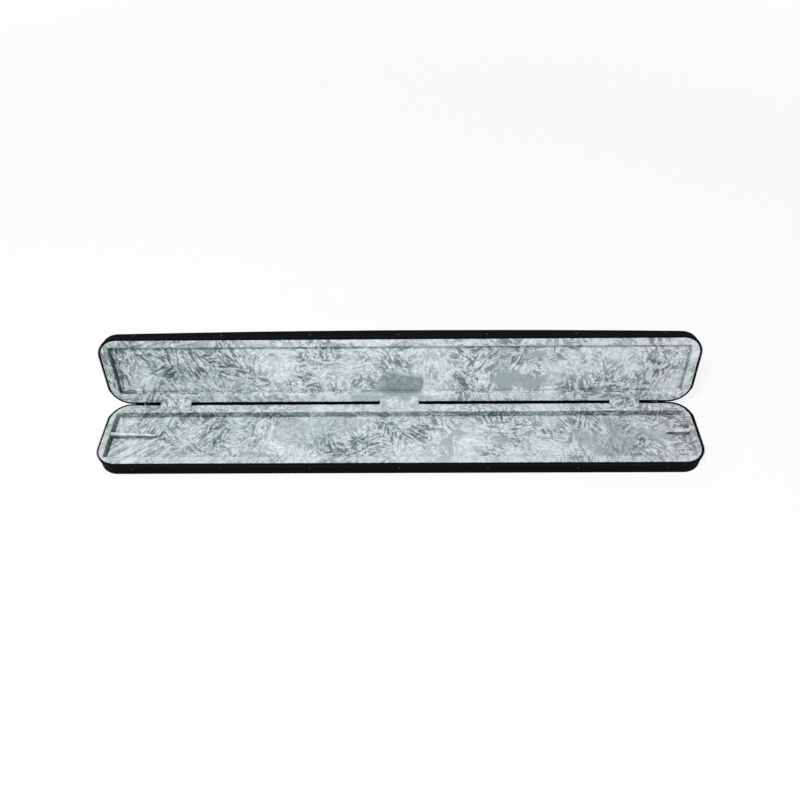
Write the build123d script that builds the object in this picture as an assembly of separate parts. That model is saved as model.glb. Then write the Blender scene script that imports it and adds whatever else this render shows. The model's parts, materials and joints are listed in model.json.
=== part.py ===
from build123d import *
import math
import os

# A slim case for two cello bows, standing open. Millimetres, +X along the case, +Y to the hinges, +Z up.
# The origin is the centre of the underside. The lid is drawn closed and then turned open about the hinges.

# Driving dimensions
case_length = 784.5
case_width = 103.9
base_height = 21.9
lid_end_height = 14.5
lid_crown = 6.6
front_corner_radius = 27.0
back_corner_radius = 27.5
open_angle = 100.0

# Layers of the walls, from the outside inwards
cover = 1.5
base_panel = 3.0
lid_panel = 3.0
front_rail = 7.0
end_wall = 5.0
back_rail = 10.0
base_front_lining = 3.9
base_end_lining = 3.0
base_back_lining = 3.9
lid_front_lining = 4.7
lid_end_lining = 7.0
lid_back_lining = 3.5
rim_velvet = 1.05
rim_velvet_edge = 0.3
bare_back_depth = 14.0
rim_gap = 0.15
frame_corner_radius = 6.0
lining_corner_radius = 4.0
outer_edge_radius = 1.1
rim_edge_radius = 0.9

# Depth of the velvet floors below the parting plane
base_recess = 9.5
lid_recess = 7.0

# Zip
tape = 0.6
teeth = 1.1
tape_width = 6.4
zip_dip_start = 30.0
zip_dip = 7.45
back_tape_width = 5.4
zip_tape_end = 336.0
zip_teeth_end = 340.0

# Hinges
hinge_places = {"left": -305.0, "center": 0.0, "right": 305.0}
hinge_cover_widths = {"left": 42.0, "center": 53.0, "right": 40.0}
hinge_length = 30.0
knuckle_count = 5
knuckle_radius = 2.2
knuckle_gap = 0.2
pin_radius = 1.0
pin_clearance = 0.05
leaf = 1.0
leaf_reach = 9.0
leaf_screw_spacing = 18.0
leaf_screw_reach = 5.6
leaf_screw_head_radius = 1.8
leaf_screw_radius = 0.95
leaf_screw_head = 0.9
leaf_screw_length = 9.0
screw_slot = 0.5
screw_slot_depth = 0.35

# Fabric strips that cross the hinge line
hinge_cover_thickness = 0.7
hinge_cover_depth = 0.75
hinge_cover_reach = 9.2
hinge_cover_fold = 4.3
spine_half_length = 327.0
spine_thickness = 0.8
spine_depth = 0.5
spine_reach = 14.0
spine_fold = 5.2
strip_bend_start = 4.6

# Screws through the cover
cover_screw_pitch = 114.5
cover_screw_count = 7
base_screw_depth = 9.8
lid_screw_depth = 8.8
cover_screw_head_radius = 1.9
cover_screw_head = 1.1
cover_screw_head_edge = 0.6
cover_screw_cross = 2.2
cover_screw_shank_radius = 0.8
cover_screw_grip = 6.0

# Padded tongues that part the two bows: length, place across the case, then height and half width, each
# at the end wall and at the free end
frog_divider_size = (60.0, 1.5, (8.2, 5.6), (4.6, 3.4))
tip_divider_size = (31.0, 4.5, (7.6, 5.0), (4.2, 3.2))
divider_edge_radius = 2.0

# Zip sliders, parked on the back wall at both ends of the zip, and their pulls
slider_x = 349.0
slider_length = 9.0
slider_width = 6.2
slider_shoulder = 0.8
slider_thickness = 2.85
slider_clearance = 0.15
slider_channel_side = 0.3
bridge_half_width = 2.4
bridge_post = 0.8
bridge_post_half_length = 0.7
pull_pivot_height = 1.5
pull_bar_radius = 0.6
pull_eye_radius = 1.3
pull_eye_half = 1.4
pull_length = 19.0
pull_width = 5.2
pull_thickness = 1.2
pull_hole_radius = 1.2

# Worked out from the above
hinge_y = case_width / 2
hinge_z = base_height
hinge_axis = Axis((0, hinge_y, hinge_z), (1, 0, 0))
frame_low = cover + base_panel
frame_high = base_height - rim_gap - rim_velvet
floor_height = base_height - base_recess
rim_height = base_height - rim_gap
lid_rim = base_height + rim_gap
lid_frame_low = lid_rim + rim_velvet
lid_middle_height = base_height + lid_end_height + lid_crown
half_length = case_length / 2
crown_radius = (half_length**2 + lid_crown**2) / (2 * lid_crown)
leaf_low = hinge_z - knuckle_radius
inner_end_x = half_length - cover - end_wall - base_end_lining
slider_low = tape + slider_clearance
pull_pivot = slider_low + slider_thickness + pull_pivot_height
far = 500.0


def outline(front, ends, back, front_radius, back_radius):
    """A face with rounded corners, set in from the cover by these distances."""
    low = -case_width / 2 + front
    high = case_width / 2 - back
    face = Pos(0, (low + high) / 2) * Rectangle(case_length - 2 * ends, high - low)
    face = fillet(face.vertices().sort_by(Axis.Y)[:2], front_radius)
    return fillet(face.vertices().sort_by(Axis.Y)[-2:], back_radius)


def inset_outline(inset):
    return outline(inset, inset, inset, front_corner_radius - inset, back_corner_radius - inset)


def slab(face, low, high):
    return extrude(Pos(0, 0, low) * face, high - low)


def block(low, high):
    """A box from its lowest to its highest corner."""
    size = [b - a for a, b in zip(low, high)]
    middle = [(a + b) / 2 for a, b in zip(low, high)]
    return Pos(*middle) * Box(*size)


def along_x(points):
    """A solid that runs the whole length of the case, from its outline across the case as (y, z) points."""
    face = Plane.YZ * make_face(Polyline(*points, close=True))
    return extrude(face, far, both=True)


def under_crown(drop):
    """Everything under the lid's crowned top surface, lowered by this much."""
    radius = crown_radius - drop
    centre_z = lid_middle_height - crown_radius
    side_z = centre_z + math.sqrt(radius**2 - far**2)
    top = ThreePointArc((-far, side_z), (0, centre_z + radius), (far, side_z))
    sides = Polyline((far, side_z), (far, 0), (-far, 0), (-far, side_z))
    return extrude(Plane.XZ * make_face([top, sides]), case_width, both=True)


def opened(shape):
    """Turns a shape of the closed lid to where it stands open."""
    return shape.rotate(hinge_axis, -open_angle)


def lid_from_base(shape):
    """Mirrors a shape of the base about the parting plane."""
    return mirror(shape, about=Plane.XY.offset(base_height))


def inside_frame(front_lining, end_lining, back_lining, radius):
    """The outline inside the wall frame, set in by these thicknesses of lining."""
    return outline(
        cover + front_rail + front_lining,
        cover + end_wall + end_lining,
        cover + back_rail + back_lining,
        radius,
        radius,
    )


frame_outer = inset_outline(cover)
frame_inner = inside_frame(0, 0, 0, frame_corner_radius)
base_lining_inner = inside_frame(base_front_lining, base_end_lining, base_back_lining, lining_corner_radius)
lid_lining_inner = inside_frame(lid_front_lining, lid_end_lining, lid_back_lining, lining_corner_radius)
screw_places = [
    (index - (cover_screw_count - 1) / 2) * cover_screw_pitch for index in range(cover_screw_count)
]


def hinge_cutout(name, reach, low, high):
    """The place that a velvet hinge cover takes up, on the base's rim."""
    half = hinge_cover_widths[name] / 2 + 0.3
    x = hinge_places[name]
    return block((x - half, hinge_y - reach, low), (x + half, hinge_y + 1, high))


def leaf_mortise(x):
    half = hinge_length / 2 + 0.1
    return block((x - half, hinge_y - leaf_reach - 0.1, leaf_low), (x + half, hinge_y, base_height))


def leaf_screw_points(x):
    return [(x + side * leaf_screw_spacing / 2, hinge_y - leaf_screw_reach) for side in (-1, 1)]


def cover_screw_hole(x, z):
    hole = Rot(90, 0, 0) * Cylinder(cover_screw_shank_radius, 2 * cover_screw_grip)
    return Pos(x, -case_width / 2, z) * hole


def leaf_screw_space():
    """The countersink and hole of a hinge screw that points down, with its head's face at the origin."""
    head = Cone(leaf_screw_radius, leaf_screw_head_radius, leaf_screw_head)
    head = Pos(0, 0, -leaf_screw_head / 2) * head
    hole = Pos(0, 0, -leaf_screw_length / 2) * Cylinder(leaf_screw_radius, leaf_screw_length)
    return head + hole


def leaf_screw():
    """A countersunk screw with a slotted head, which fills its space."""
    reach = leaf_screw_head_radius
    slot = block((-reach, -screw_slot / 2, -screw_slot_depth), (reach, screw_slot / 2, 1))
    return leaf_screw_space() - slot


def cover_screw():
    """A pan-head screw that points along +Y, with the underside of its head at the origin."""
    head = Pos(0, 0, cover_screw_head / 2) * Cylinder(cover_screw_head_radius, cover_screw_head)
    head = fillet(head.edges().sort_by(Axis.Z)[-1], cover_screw_head_edge)
    cross = block(
        (-cover_screw_cross / 2, -screw_slot / 2, cover_screw_head / 2),
        (cover_screw_cross / 2, screw_slot / 2, 2 * cover_screw_head),
    )
    head -= cross + Rot(0, 0, 90) * cross
    shank = Pos(0, 0, -cover_screw_grip / 2) * Cylinder(cover_screw_shank_radius, cover_screw_grip)
    return Rot(90, 0, 0) * (head + shank)


def wall_frame():
    """The base's wooden wall frame, with its hinge mortises and screw holes."""
    ring = slab(frame_outer - frame_inner, frame_low, frame_high)
    for x in hinge_places.values():
        ring -= leaf_mortise(x)
        for place in leaf_screw_points(x):
            ring -= Pos(*place, leaf_low + leaf) * leaf_screw_space()
    for x in screw_places:
        ring -= cover_screw_hole(x, base_height - base_screw_depth)
    return ring


def lid_wall_frame():
    """The lid's wall frame, cut along the bent panel. Drawn closed."""
    ring = slab(frame_outer - frame_inner, lid_frame_low, lid_middle_height)
    ring &= under_crown(cover + lid_panel)
    for x in hinge_places.values():
        ring -= lid_from_base(leaf_mortise(x))
        for place in leaf_screw_points(x):
            ring -= lid_from_base(Pos(*place, leaf_low + leaf) * leaf_screw_space())
    for x in screw_places:
        ring -= cover_screw_hole(x, base_height + lid_screw_depth)
    return ring


def cover_notches():
    """What the hinges and their covers take out of the cover's back wall, in the base."""
    shapes = [hinge_cutout(name, cover + 0.5, leaf_low - 0.2, base_height) for name in hinge_places]
    return shapes[0] + shapes[1] + shapes[2]


def velvet_lap():
    """The space over the cover's top edge that the rim's velvet takes, everywhere but along the back."""
    return block((-far, -far, frame_high), (far, hinge_y - bare_back_depth, base_height))


def base_cover_band():
    band = slab(inset_outline(0), 0, rim_height)
    bottom = band.edges().group_by(Axis.Z)[0]
    band = fillet(bottom, outer_edge_radius)
    band -= slab(frame_outer, -1, base_height)
    band -= velvet_lap() + cover_notches()
    for x in screw_places:
        band -= cover_screw_hole(x, base_height - base_screw_depth)
    return band


def lid_cover_band():
    band = slab(inset_outline(0), lid_rim, lid_middle_height + 1) & under_crown(0)
    top = band.edges().filter_by(lambda edge: edge.center().Z > base_height + lid_end_height / 2)
    top = top.filter_by(lambda edge: abs(edge.tangent_at(0.5).Z) < 0.5)
    band = fillet(top, outer_edge_radius)
    band -= slab(frame_outer, base_height - 1, lid_middle_height + 2)
    band -= lid_from_base(velvet_lap() + cover_notches())
    for x in screw_places:
        band -= cover_screw_hole(x, base_height + lid_screw_depth)
    return band


def rim_lining(inner, wall_low):
    """Velvet over foam on the inner walls, and over the rim to the cover's face. Drawn as in the base."""
    lining = slab(inset_outline(rim_velvet_edge), frame_high, rim_height) & velvet_lap()
    lining += slab(frame_outer, frame_high, rim_height)
    lining += slab(frame_inner, wall_low, frame_high)
    lining -= slab(inner, wall_low - 1, base_height)
    inner_rim = lining.edges().group_by(Axis.Z)[-1]
    inner_rim = inner_rim.filter_by(lambda edge: inside_rim(edge.center()))
    lining = fillet(inner_rim, rim_edge_radius)
    for name in hinge_places:
        lining -= hinge_cutout(name, leaf_reach + 0.4, frame_high, base_height)
    return lining


def lining_strips(ring, front_lining, end_lining, back_lining):
    """Cuts a ring of wall lining at its mitred corners, into one strip along each wall."""
    end_inset = cover + end_wall + end_lining
    insets = {-1: cover + front_rail + front_lining, 1: cover + back_rail + back_lining}
    outer = {}
    inner = {}
    for end in (-1, 1):
        for side, inset in insets.items():
            corner = (end * half_length, side * case_width / 2)
            outer[end, side] = (corner[0] + end * end_inset, corner[1] + side * inset)
            inner[end, side] = (corner[0] - end * 2 * end_inset, corner[1] - side * 2 * inset)
    walls = {
        "front": ((-1, -1), (1, -1)),
        "back": ((-1, 1), (1, 1)),
        "left": ((-1, -1), (-1, 1)),
        "right": ((1, -1), (1, 1)),
    }
    strips = {}
    for wall, (first, second) in walls.items():
        sector = make_face(Polyline(outer[first], outer[second], inner[second], inner[first], close=True))
        strips[wall] = ring & extrude(sector, far, both=True)
    return strips


def inside_rim(point):
    """True for a point on the rim's inner edge rather than on its outer edge."""
    margin = cover + end_wall
    return abs(point.X) < half_length - margin and point.Y < case_width / 2 - margin and (
        point.Y > -case_width / 2 + margin
    )


def zip_half():
    """The tape and teeth of one half of the zip, as in the base. Both dip away from the hinge line."""
    edge = rim_height
    back = hinge_y + 0.5
    back_edge = edge - zip_dip
    tape_path = along_x(
        [
            (-far, edge),
            (zip_dip_start, edge),
            (back, back_edge),
            (far, back_edge),
            (far, back_edge - back_tape_width),
            (back, back_edge - back_tape_width),
            (zip_dip_start, edge - tape_width),
            (-far, edge - tape_width),
        ]
    )
    teeth_path = along_x(
        [
            (-far, edge),
            (zip_dip_start, edge),
            (back, back_edge),
            (far, back_edge),
            (far, back_edge - teeth),
            (back, back_edge - teeth),
            (zip_dip_start, edge - teeth),
            (-far, edge - teeth),
        ]
    )
    tape_ring = slab(inset_outline(-tape) - inset_outline(0), 0, base_height) & tape_path
    teeth_ring = slab(inset_outline(-tape - teeth) - inset_outline(-tape), 0, base_height) & teeth_path
    middle_of_back = hinge_y / 2
    tape_ring -= block((-zip_tape_end, middle_of_back, -1), (zip_tape_end, far, base_height))
    teeth_ring -= block((-zip_teeth_end, middle_of_back, -1), (zip_teeth_end, far, base_height))
    return tape_ring, teeth_ring


def zip_stop(side):
    """A metal stop crimped on the tape just past the last tooth."""
    high = rim_height - zip_dip + 0.1
    low = high - teeth - 0.2
    start = zip_tape_end + 1.4
    stop = block((start, hinge_y + tape, low), (zip_teeth_end - 0.2, hinge_y + tape + 1.6, high))
    stop = fillet(stop.edges().filter_by(Axis.Z).sort_by(Axis.Y)[-2:], 0.4)
    return stop if side > 0 else mirror(stop, about=Plane.YZ)


def divider(length, y, heights, half_widths):
    """A padded tongue on the base's floor, from the right end wall towards the middle."""
    root_height, tip_height = heights
    root_half, tip_half = half_widths
    tip_x = inner_end_x - length + tip_half
    root = Pos(inner_end_x, y) * Circle(root_half)
    tip = Pos(tip_x, y) * Circle(tip_half)
    tongue = slab(make_hull([*root.edges(), *tip.edges()]), floor_height, floor_height + root_height)
    tongue -= block((inner_end_x, -far, 0), (far, far, far))
    slope = math.degrees(math.atan2(root_height - tip_height, length))
    cutter = Pos(0, 0, base_height / 2) * Box(3 * length, case_width, base_height)
    tongue -= Pos(inner_end_x, y, floor_height + root_height) * Rot(0, -slope, 0) * cutter
    top = tongue.edges().filter_by(lambda edge: edge.center().Z > floor_height + tip_height / 2)
    top = top.filter_by(lambda edge: edge.center().X < inner_end_x - divider_edge_radius / 2)
    top = top.filter_by(lambda edge: abs(edge.tangent_at(0.5).Z) < 0.5)
    return fillet(top, divider_edge_radius)


def knuckle_spans(x):
    """The x ranges of a hinge's knuckles, in turn from its left end."""
    length = (hinge_length - (knuckle_count - 1) * knuckle_gap) / knuckle_count
    starts = [x - hinge_length / 2 + index * (length + knuckle_gap) for index in range(knuckle_count)]
    return [(start, start + length) for start in starts]


def barrel(start, end, radius):
    turned = Rot(0, 90, 0) * Cylinder(radius, end - start)
    return Pos((start + end) / 2, hinge_y, hinge_z) * turned


def hinge_leaf(x, own, other):
    """A leaf as it lies in the base's rim. own and other are the x ranges of the two leaves' knuckles."""
    half = hinge_length / 2
    plate = block((x - half, hinge_y - leaf_reach, leaf_low), (x + half, hinge_y, leaf_low + leaf))
    for start, end in other:
        plate -= block(
            (start - knuckle_gap, hinge_y - knuckle_radius - 0.4, leaf_low - 1),
            (end + knuckle_gap, hinge_y + 1, base_height),
        )
    for start, end in own:
        plate += barrel(start, end, knuckle_radius)
    plate -= barrel(x - half - 1, x + half + 1, pin_radius + pin_clearance)
    for place in leaf_screw_points(x):
        plate -= Pos(*place, leaf_low + leaf) * leaf_screw_space()
    return plate


def hinge_pin(x):
    half = hinge_length / 2
    head = 0.5
    pin = barrel(x - half - head, x + half + head, pin_radius)
    for start in (x - half - head, x + half + 0.05):
        pin += barrel(start, start + head - 0.05, pin_radius + 0.5)
    return pin


def mirrored_in_fold(point):
    """Takes a (y, z) point off the axis on the base's side to its twin on the open lid's side."""
    fold = math.radians(180 - open_angle / 2)
    direction = (math.cos(fold), math.sin(fold))
    reach = point[0] * direction[0] + point[1] * direction[1]
    return tuple(2 * reach * part - value for part, value in zip(direction, point))


def crossing_strip(points, apex, thickness, radius, start, end):
    """A fabric strip across the hinge line, between two x. points are (y, z) off the hinge axis, on the
    base's side. apex is how far from the axis the strip folds, and is negative behind the hinges."""
    fold = math.radians(180 - open_angle / 2)
    middle = (apex * math.cos(fold), apex * math.sin(fold))
    route = [*points, middle, *[mirrored_in_fold(point) for point in reversed(points)]]
    line = FilletPolyline(*[(hinge_y + y, hinge_z + z) for y, z in route], radius=radius)
    face = Plane.YZ * trace(line, line_width=thickness)
    return Pos(start, 0, 0) * extrude(face, end - start, dir=(1, 0, 0))


def placed_on_back(shape):
    """Stands a shape drawn flat, with +Z outwards, on the back wall at the right-hand slider."""
    return Pos(slider_x, hinge_y, rim_height - zip_dip) * Rot(-90, 0, 0) * shape


def slider_body():
    """The right-hand slider, which straddles the teeth on the back wall's zip tape."""
    half = slider_length / 2
    wide = slider_width / 2
    narrow = wide - slider_shoulder
    plan = Polygon(
        (-half, -wide), (1, -wide), (half, -narrow), (half, narrow), (1, wide), (-half, wide), align=None
    )
    body = extrude(fillet(plan.vertices(), 0.7), slider_thickness)
    body = Pos(0, 0, slider_low) * fillet(body.edges().group_by(Axis.Z)[-1], 0.5)
    channel_half = teeth + slider_channel_side
    channel_top = tape + teeth + slider_channel_side
    body -= block((-far, -channel_half, 0), (far, channel_half, channel_top))
    post_low = slider_low + slider_thickness - 0.5
    post_high = pull_pivot + pull_bar_radius
    for low in (-bridge_half_width, bridge_half_width - bridge_post):
        body += block(
            (-bridge_post_half_length, low, post_low),
            (bridge_post_half_length, low + bridge_post, post_high),
        )
    body += Pos(0, 0, pull_pivot) * Rot(90, 0, 0) * Cylinder(pull_bar_radius, 2 * bridge_half_width)
    return placed_on_back(body)


def slider_pull():
    """The right-hand pull, lying along the back wall towards the middle of the case."""
    half = pull_thickness / 2
    eye = Rot(90, 0, 0) * Cylinder(pull_eye_radius, 2 * pull_eye_half)
    neck = block((-4, -pull_eye_half, -half), (0, pull_eye_half, half))
    tab_length = pull_length - 2 * pull_eye_radius
    tab = Pos(-pull_length + tab_length / 2, 0) * RectangleRounded(tab_length, pull_width, 1.6)
    tab = Pos(0, 0, -half) * extrude(tab, pull_thickness)
    tab -= Pos(-pull_length + 3, 0, 0) * Cylinder(pull_hole_radius, 2 * pull_thickness)
    shape = eye + neck + tab
    shape -= Rot(90, 0, 0) * Cylinder(pull_bar_radius + pin_clearance, 4 * pull_eye_half)
    return placed_on_back(Pos(0, 0, pull_pivot) * shape)


def mirrored(shape):
    return mirror(shape, about=Plane.YZ)


nodes = {}

# Base
nodes["base_frame"] = wall_frame()
nodes["base_panel"] = slab(frame_outer, cover, frame_low)
nodes["base_cover_panel"] = slab(frame_outer, 0, cover)
nodes["base_cover_band"] = base_cover_band()
nodes["base_floor_pad"] = slab(base_lining_inner, frame_low, floor_height)
base_lining = rim_lining(base_lining_inner, frame_low)
base_strips = lining_strips(base_lining, base_front_lining, base_end_lining, base_back_lining)
for wall, strip in base_strips.items():
    nodes[f"base_lining_{wall}"] = strip
nodes["tip_divider"] = divider(*tip_divider_size)
nodes["frog_divider"] = mirrored(divider(*frog_divider_size))
nodes["base_zip_tape"], nodes["base_zip_teeth"] = zip_half()
nodes["zip_end_stops"] = Compound([zip_stop(-1), zip_stop(1)])
nodes["base_cover_screws"] = Compound(
    [Pos(x, -case_width / 2, base_height - base_screw_depth) * cover_screw() for x in screw_places]
)

# Lid, drawn closed and then opened
lid_floor = base_height + lid_recess
closed_lid = {}
closed_lid["lid_frame"] = lid_wall_frame()
closed_lid["lid_panel"] = slab(frame_outer, base_height, lid_middle_height) & (
    under_crown(cover) - under_crown(cover + lid_panel)
)
closed_lid["lid_cover_panel"] = slab(frame_outer, base_height, lid_middle_height + 1) & (
    under_crown(0) - under_crown(cover)
)
closed_lid["lid_cover_band"] = lid_cover_band()
lid_pad = slab(lid_lining_inner, lid_floor, lid_middle_height)
closed_lid["lid_panel_pad"] = lid_pad & under_crown(cover + lid_panel)
lid_lining_depth = lid_end_height - cover - lid_panel - 0.3
lid_lining = rim_lining(lid_lining_inner, base_height - lid_lining_depth)
lid_strips = lining_strips(lid_lining, lid_front_lining, lid_end_lining, lid_back_lining)
for wall, strip in lid_strips.items():
    closed_lid[f"lid_lining_{wall}"] = lid_from_base(strip)
closed_lid["lid_zip_tape"] = lid_from_base(nodes["base_zip_tape"])
closed_lid["lid_zip_teeth"] = lid_from_base(nodes["base_zip_teeth"])
closed_lid["lid_cover_screws"] = Compound(
    [Pos(x, -case_width / 2, base_height + lid_screw_depth) * cover_screw() for x in screw_places]
)

# Hinges and the strips that cross them
base_screws = []
lid_screws = []
for name, x in hinge_places.items():
    spans = knuckle_spans(x)
    base_spans = spans[0::2]
    lid_spans = spans[1::2]
    nodes[f"hinge_{name}_base_leaf"] = hinge_leaf(x, base_spans, lid_spans)
    nodes[f"hinge_{name}_pin"] = hinge_pin(x)
    closed_lid[f"hinge_{name}_lid_leaf"] = lid_from_base(hinge_leaf(x, lid_spans, base_spans))
    for place in leaf_screw_points(x):
        base_screws.append(Pos(*place, leaf_low + leaf) * leaf_screw())
        lid_screws.append(Pos(*place, 2 * base_height - leaf_low - leaf) * Rot(180, 0, 0) * leaf_screw())
    half_width = hinge_cover_widths[name] / 2
    nodes[f"hinge_cover_{name}"] = crossing_strip(
        [(-hinge_cover_reach, -hinge_cover_depth), (-strip_bend_start, -hinge_cover_depth)],
        hinge_cover_fold,
        hinge_cover_thickness,
        1.6,
        x - half_width,
        x + half_width,
    )
nodes["base_leaf_screws"] = Compound(base_screws)
closed_lid["lid_leaf_screws"] = Compound(lid_screws)
nodes["spine_strip"] = crossing_strip(
    [(spine_depth, -spine_reach), (spine_depth, -strip_bend_start)],
    -spine_fold,
    spine_thickness,
    1.2,
    -spine_half_length,
    spine_half_length,
)

# Zip sliders and pulls
nodes["zip_slider_right"] = slider_body()
nodes["zip_slider_left"] = mirrored(nodes["zip_slider_right"])
nodes["zip_pull_right"] = slider_pull()
nodes["zip_pull_left"] = mirrored(nodes["zip_pull_right"])

for name, shape in closed_lid.items():
    nodes[name] = opened(shape)

os.makedirs("parts", exist_ok=True)
for name, shape in nodes.items():
    export_step(shape, f"parts/{name}.step")
    print(name, len(shape.solids()), round(shape.volume, 1))
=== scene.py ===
import json
import math

import bmesh
import bpy
import numpy as np
from mathutils import Matrix, Vector, noise


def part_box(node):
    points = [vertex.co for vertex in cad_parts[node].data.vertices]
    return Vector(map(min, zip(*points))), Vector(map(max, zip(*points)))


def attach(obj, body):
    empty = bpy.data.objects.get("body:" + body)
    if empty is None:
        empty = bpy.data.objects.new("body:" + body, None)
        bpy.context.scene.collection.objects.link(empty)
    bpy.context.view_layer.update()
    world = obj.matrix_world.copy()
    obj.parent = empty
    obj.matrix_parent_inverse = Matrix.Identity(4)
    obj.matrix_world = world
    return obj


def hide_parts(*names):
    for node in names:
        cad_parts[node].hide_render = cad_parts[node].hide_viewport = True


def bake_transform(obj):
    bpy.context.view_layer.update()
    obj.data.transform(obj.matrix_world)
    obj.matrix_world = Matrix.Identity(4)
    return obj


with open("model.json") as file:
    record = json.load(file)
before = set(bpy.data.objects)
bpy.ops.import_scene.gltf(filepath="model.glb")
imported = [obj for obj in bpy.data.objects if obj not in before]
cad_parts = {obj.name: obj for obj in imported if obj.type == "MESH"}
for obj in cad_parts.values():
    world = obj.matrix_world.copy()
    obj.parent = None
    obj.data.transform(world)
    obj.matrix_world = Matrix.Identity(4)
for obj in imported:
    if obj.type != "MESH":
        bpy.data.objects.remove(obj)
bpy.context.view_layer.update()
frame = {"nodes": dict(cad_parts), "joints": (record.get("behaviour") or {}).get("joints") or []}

# Lengths here are in millimetres, and MM takes them to Blender's metres. Each half of the case is built
# closed, with a depth that runs from the parting plane into that half, and is then put in its place.
MM = 0.001
scene = bpy.context.scene

# The camera, as fitted to the photograph's outline
camera_elevation = math.radians(47.565)
camera_turn = math.radians(1.295)
camera_roll = math.radians(-1.225)
camera_distance = 1039.1
camera_target_x = 1.65
focal_length_px = 761.6
picture_size_px = 800
principal_point_px = (400.5, 402.8)
sensor_width = 36.0

# The case's own sizes that the frame doesn't say
front_corner_radius = 27.0
back_corner_radius = 27.5
lid_crown = 6.6
cover = 1.5
board = 3.0
front_rail = 7.0
end_wall = 5.0
back_rail = 10.0
frame_corner_radius = 6.0
lining_corner_radius = 4.0
rim_gap = 0.15
rim_velvet = 1.05
velvet_edge = {"base": 1.1, "lid": 1.8}
velvet_edge_back = 2.1
velvet_edge_change = (5.0, 35.0)
right_draw = 1.2
right_draw_reach = 60.0
bare_back_depth = 22.0
bare_back_fade = 3.0
lap_thickness = 0.25
bottom_edge_radius = 1.2
seam_depth = 0.9
tape = 0.6
tape_width = 6.4
zip_dip_start = 30.0
zip_dip = 7.45
back_tape_width = 5.4
zip_tape_end = 336.0
zip_teeth_end = 340.0
hinge_places = {"left": -305.0, "center": 0.0, "right": 305.0}
hinge_cover_widths = {"left": 42.0, "center": 53.0, "right": 40.0}
hinge_cover_reach = 11.2
hinge_cover_thickness = (0.1, 0.75)
hinge_notch_reach = 9.4
hinge_notch_depth = 2.4
spine_half_length = 362.0
spine_full_width_end = 327.0
spine_thickness = 0.8
spine_nick = (344.0, 351.0)

# The wall velvet's rounded edges, each as (distance, depth): outside from the rim's edge inwards, inside
# from the wall outwards. The flat of the rim lies between the two distances of rim_flat.
rim_outside = [(0.0, 0.72), (0.16, 0.42), (0.45, 0.24)]
rim_flat = (0.9, 1.5)
rim_inside = [(0.85, 0.38), (0.35, 0.85), (0.08, 1.55)]
wall_straight_start = 2.6
pad_edge_rise = 0.9
pad_edge_fade = 1.4

# How far crushed velvet lies in, as (fine, broad), and the size of both kinds of dent
wall_crush = (0.22, 0.16)
pad_crush = (0.30, 0.30)
tongue_crush = (0.25, 0.20)
strip_crush = (0.06, 0.05)
crush_sizes = (7.0, 38.0)

# Fineness of the meshes
straight_half = 340.0
straight_step = 1.7
places_past_cover = (0.12, 0.42)
end_steps = 22
arc_steps = 18
short_steps = 34
rim_rows = 8
wall_step = 1.3
pad_step = 1.6
tongue_rows = 40
tongue_around = 20
band_rows = 9
band_corner_rows = 6
panel_rows = 14

# The velvet. Its tones run from 0 to 1, and velvet_tones gives the colour of each.
velvet_tones = [
    (0.00, (0.055, 0.080, 0.078)),
    (0.28, (0.190, 0.240, 0.236)),
    (0.50, (0.380, 0.445, 0.440)),
    (0.72, (0.600, 0.670, 0.664)),
    (1.00, (0.760, 0.815, 0.810)),
]
calm_tone = 0.44
rim_tone = 0.70
rim_fade = (2.4, 1.0)
rim_warmth = 0.6
# Kinds of stroke: size of the crushed patches, length and width of a stroke, shift off the other kinds
dash_kind = (30.0, 17.0, 4.4, (3.0, 7.0))
hair_kind = (24.0, 21.0, 6.5, (61.0, 17.0))
fleck_kind = (17.0, 11.0, 3.2, (37.0, 91.0))
patch_wander = 1.1
dash_strength = 0.42
line_strength = 0.34
fleck_strength = 0.22
# Slower changes of tone, and where along the case the cloth is darker or warmer
broad_size = 60.0
cloud_size = 42.0
broad_change = 0.35
patch_change = 0.14
pile_change = 0.10
left_shade_run = (-120.0, -300.0)
warm_run = (250.0, 375.0)
# The slanting folds at the left end of the base's floor, painted as a calmer patch with streaks of painted
# light and shade, since the mesh has no folds
fold_place = (-345.0, -26.0)
fold_reach = (52.0, 27.0)
fold_size = (55.0, 5.5)
fold_slant = math.radians(42)
fold_tone = 0.66
fold_calm = 0.55
fold_shading_strength = 0.17
# Pressed places: along the case, out from the hinge axis, half the length, half the width, strength
base_pressed = [(284.0, 55.0, 50.0, 32.0, 0.62), (-119.0, 40.0, 55.0, 26.0, 0.45)]
lid_pressed = [
    (-2.0, 27.0, 26.0, 17.0, 1.35),
    (-16.0, 8.0, 46.0, 8.0, 0.8),
    (185.0, 72.0, 30.0, 17.0, 0.85),
    (176.0, 29.0, 52.0, 17.0, 0.95),
    (135.0, 50.0, 12.0, 34.0, 0.5),
]
pressed_raggedness = 3.2

# The studio, in metres and watts
floor_half_size = 12.0
floor_white_share = 0.86
floor_white_fade = (0.7, 2.5)
world_light = 0.39
key_place = (-0.75, -1.20, 2.20)
key_aim = (0, 0.03, 0.03)
key_size = (0.6, 0.45)
key_power = 56.0

# The rest of the sizes come from the frame
lid_joint = next(joint for joint in frame["joints"] if joint["name"] == "lid_hinge")
hinge_y, hinge_z = (value / MM for value in lid_joint["pos_m"][1:])
open_angle = math.radians(lid_joint["range_deg"][1])
fold_direction = math.pi - open_angle / 2


def link(name, data):
    """An object made from this data and put in the scene."""
    made = bpy.data.objects.new(name, data)
    scene.collection.objects.link(made)
    return made


def box_mm(node):
    low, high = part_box(node)
    return low / MM, high / MM


half_length, half_width = box_mm("base_cover_band")[1][:2]
pad_low, pad_high = box_mm("base_floor_pad")
base_inset = (pad_low.y + half_width, half_length - pad_high.x, half_width - pad_high.y)
base_floor_depth = hinge_z - pad_high.z
base_board_depth = hinge_z - cover - board


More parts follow.
